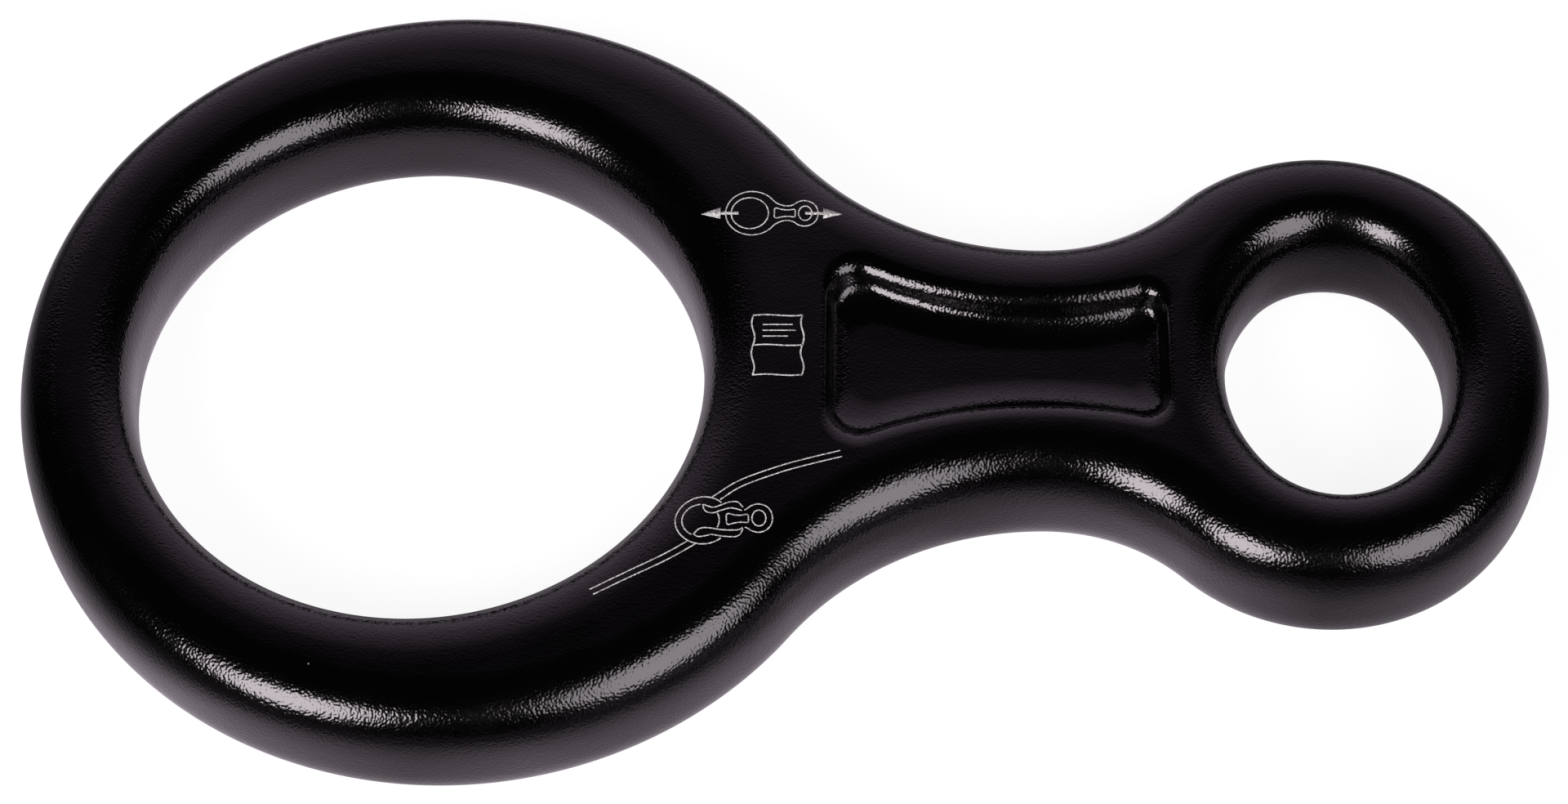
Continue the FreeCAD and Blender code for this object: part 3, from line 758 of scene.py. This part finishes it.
def painted_table_light(nodes, links, place):
    """A painted pool of light and shade on the table, seen only in reflections: it stands in for the
    light that the lamps cast on the table and the shade that the object casts on it. Outside the object
    it falls with the distance from the outline, a little lower right at the object's foot as painted
    shade; inside the holes it is painted shade that darkens towards the viewer; and along the length it
    follows the two softboxes as painted pools of light."""
    glow_length, glow_depth, edge_inside, small_ring_reach = 0.16, 0.05, 0.005, SMALL_RING_CORNER + 2.0
    # painted shade right at the object's foot, then a painted pool of light that falls off away from the
    # outline
    away_steps = [(0.0, 0.85), (0.16, 1.0), (0.28, 0.75), (0.4, 0.5), (0.6, 0.22), (0.8, 0.1)]
    # painted shade inside the holes, darker towards the viewer
    across_steps = [(0.2, 0.1), (0.32, 0.25), (0.5, 0.5), (0.66, 0.75), (0.8, 0.95), (1.0, 0.8)]
    # painted pools of light from the two softboxes, along the length
    along_steps = [
        (0.03, 0.3), (0.09, 0.4), (0.16, 0.85), (0.225, 0.7), (0.3, 0.5), (0.375, 0.75), (0.43, 0.62),
        (0.53, 0.6), (0.605, 0.42), (0.675, 0.8), (0.725, 0.7), (0.79, 0.29), (0.86, 0.4), (0.97, 0.45),
    ]

    def far_from(x, y):
        node = nodes.new("ShaderNodeVectorMath")
        node.operation = "DISTANCE"
        links.new(place, node.inputs[0])
        node.inputs[1].default_value = Vector((x, y, 0)) * MM + Vector((*ROPE_HOLE_PLACE.xy, 0))
        return node.outputs["Value"]

    ring = calculate(nodes, links, "SUBTRACT", far_from(RING_X, 0), RING_RADIUS * MM)
    small = calculate(nodes, links, "SUBTRACT", far_from(SMALL_RING_X, 0), small_ring_reach * MM)
    from_hollow = far_from(NECK_LOW_X, -NECK_HALF_WIDTH - NECK_WIDE)
    hollow = calculate(nodes, links, "SUBTRACT", NECK_WIDE * MM, from_hollow)
    rings = calculate(nodes, links, "MINIMUM", ring, small)
    outside = calculate(nodes, links, "MAXIMUM", rings, hollow)
    split = nodes.new("ShaderNodeSeparateXYZ")
    links.new(place, split.inputs["Vector"])
    along = calculate(nodes, links, "MULTIPLY_ADD", split.outputs["X"], 1 / glow_length, 0.5)
    across = calculate(nodes, links, "MULTIPLY_ADD", split.outputs["Y"], 1 / glow_depth, 0.5)
    away = calculate(nodes, links, "MULTIPLY", outside, 1 / glow_depth)
    beyond = calculate(nodes, links, "GREATER_THAN", outside, -edge_inside)
    mix = nodes.new("ShaderNodeMix")
    links.new(beyond, mix.inputs["Factor"])
    links.new(colour_steps(nodes, links, across, across_steps), mix.inputs["A"])
    links.new(colour_steps(nodes, links, away, away_steps), mix.inputs["B"])
    lengthwise = colour_steps(nodes, links, along, along_steps)
    return calculate(nodes, links, "MULTIPLY", lengthwise, mix.outputs["Result"])


def table_white():
    """A matt white that shows white behind the object, while its shadows stay: it glows by one, less the
    share of its paleness that the lamps give. It is palest about the object, a painted pool of light that
    deepens the shadows there and leaves the table dimmer in reflections further out. In reflections its
    paleness is painted darker, and it shows a painted pool of light and shade instead, a little purple."""
    # the paleness about the object is a painted pool of light; the darkening and the purple tint reach
    # only reflections, as painted reflection
    middle_shape, middle, edge = (0.57, 1.0, 0.0), 0.042, 0.09
    middle_pale, edge_pale, lamp_share, painted_reflection_shade = 0.2, 0.1, 0.6, 0.6
    white, painted_reflection_tint = (1.0, 1.0, 1.0), (0.0, -0.13, 0.02)
    material = bpy.data.materials.new("table_white")
    material.use_nodes = True
    nodes, links = material.node_tree.nodes, material.node_tree.links
    shader = nodes["Principled BSDF"]
    shader.inputs["Roughness"].default_value = 1.0
    shader.inputs["Specular IOR Level"].default_value = 0.0
    place = nodes.new("ShaderNodeTexCoord")
    stretch = nodes.new("ShaderNodeVectorMath")
    stretch.operation = "MULTIPLY"
    stretch.inputs[1].default_value = middle_shape
    links.new(place.outputs["Object"], stretch.inputs[0])
    length = nodes.new("ShaderNodeVectorMath")
    length.operation = "LENGTH"
    links.new(stretch.outputs["Vector"], length.inputs[0])
    pale = mapped(nodes, links, length.outputs["Value"], middle, edge, middle_pale, edge_pale)
    path = nodes.new("ShaderNodeLightPath")
    glossy = path.outputs["Is Glossy Ray"]
    tint = nodes.new("ShaderNodeVectorMath")
    tint.operation = "MULTIPLY_ADD"
    links.new(glossy, tint.inputs[0])
    tint.inputs[1].default_value = painted_reflection_tint
    tint.inputs[2].default_value = white
    links.new(tint.outputs["Vector"], shader.inputs["Emission Color"])
    # painted shade: the table is darker in reflections than it is seen straight on
    dimmed = calculate(nodes, links, "MULTIPLY_ADD", glossy, -painted_reflection_shade, 1.0)
    links.new(calculate(nodes, links, "MULTIPLY", pale, dimmed), shader.inputs["Base Color"])
    straight_on = path.outputs["Is Camera Ray"], path.outputs["Is Transmission Ray"]
    seen = calculate(nodes, links, "MAXIMUM", *straight_on)
    fill = calculate(nodes, links, "MULTIPLY_ADD", pale, -lamp_share, 1.0)
    shown = calculate(nodes, links, "MULTIPLY", seen, fill)
    # a painted pool of light and shade, seen only in reflections
    painted_light_pool = painted_table_light(nodes, links, place.outputs["Object"])
    reflected_light_pool = calculate(nodes, links, "MULTIPLY", glossy, painted_light_pool)
    links.new(calculate(nodes, links, "MAXIMUM", shown, reflected_light_pool), shader.inputs["Emission Strength"])
    return material


def make_table():
    """The white table that the descender lies on."""
    table_size = 6.0
    bpy.ops.mesh.primitive_plane_add(size=table_size)
    table = bpy.context.object
    table.name = "table"
    table.data.materials.append(table_white())


def put_in_place(thing, place, back, right, roll):
    """Puts a lamp or the camera at its place, with its back and its right side these ways, and then
    turns it about the line that it looks along."""
    turned = Matrix.Rotation(roll, 3, back)
    up = back.cross(right)
    basis = Matrix((turned @ right, turned @ up, back)).transposed().to_4x4()
    thing.matrix_world = Matrix.Translation(place) @ basis
    bpy.context.scene.collection.objects.link(thing)


def add_softbox(name, aside, rise, width, height, roll, radiance):
    """An oval softbox facing the object. aside is the sine of its angle to the right, and rise the
    turn up from the viewer's horizon; width and height are half angles, in degrees. Its power is the
    radiance times pi times the oval's area."""
    distance = 1.5
    turn = math.radians(rise)
    reach = math.sqrt(1 - aside**2)
    back = Vector((aside, -math.cos(turn) * reach, math.sin(turn) * reach))
    light = bpy.data.lights.new(name, "AREA")
    light.shape = "ELLIPSE"
    light.size, light.size_y = (2 * distance * math.tan(math.radians(angle)) for angle in (width, height))
    light.energy = radiance * math.pi * light.size * light.size_y * math.pi / 4
    right = Vector((1, 0, 0)) - back * back.x
    right.normalize()
    lamp = bpy.data.objects.new(name, light)
    put_in_place(lamp, back * distance, back, right, math.radians(roll))


def make_camera():
    """The photograph's viewpoint: a long lens from in front and above, turned a little."""
    aim = Vector((32.01, -1.28, 0.0)) * MM + ROPE_HOLE_PLACE
    distance, lens, sensor_width, nearest_seen = 0.44828, 117.165, 36, 0.01
    azimuth, elevation, roll = (math.radians(angle) for angle in (1.758, 57.879, -1.353))
    level = Vector((math.sin(azimuth), -math.cos(azimuth), 0)) * math.cos(elevation)
    back = level + Vector((0, 0, math.sin(elevation)))
    right = Vector((math.cos(azimuth), math.sin(azimuth), 0))
    camera = bpy.data.objects.new("camera", bpy.data.cameras.new("camera"))
    camera.data.lens = lens
    camera.data.sensor_width = sensor_width
    camera.data.clip_start = nearest_seen
    put_in_place(camera, aim + back * distance, back, right, roll)
    bpy.context.scene.camera = camera


make_camera()
make_table()
make_surroundings()
add_softbox("left_softbox", aside=-0.512, rise=43.0, width=14.4, height=19.8, roll=-31.0, radiance=12.0)
add_softbox("right_softbox", aside=0.558, rise=53.5, width=18.8, height=25.0, roll=7.0, radiance=5.0)

grain = grain_group()
forging = make_forging(anodising(grain))
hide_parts("descender_body")
symbols = make_markings(marking(grain))

scene = bpy.context.scene
scene.view_settings.view_transform = "Standard"
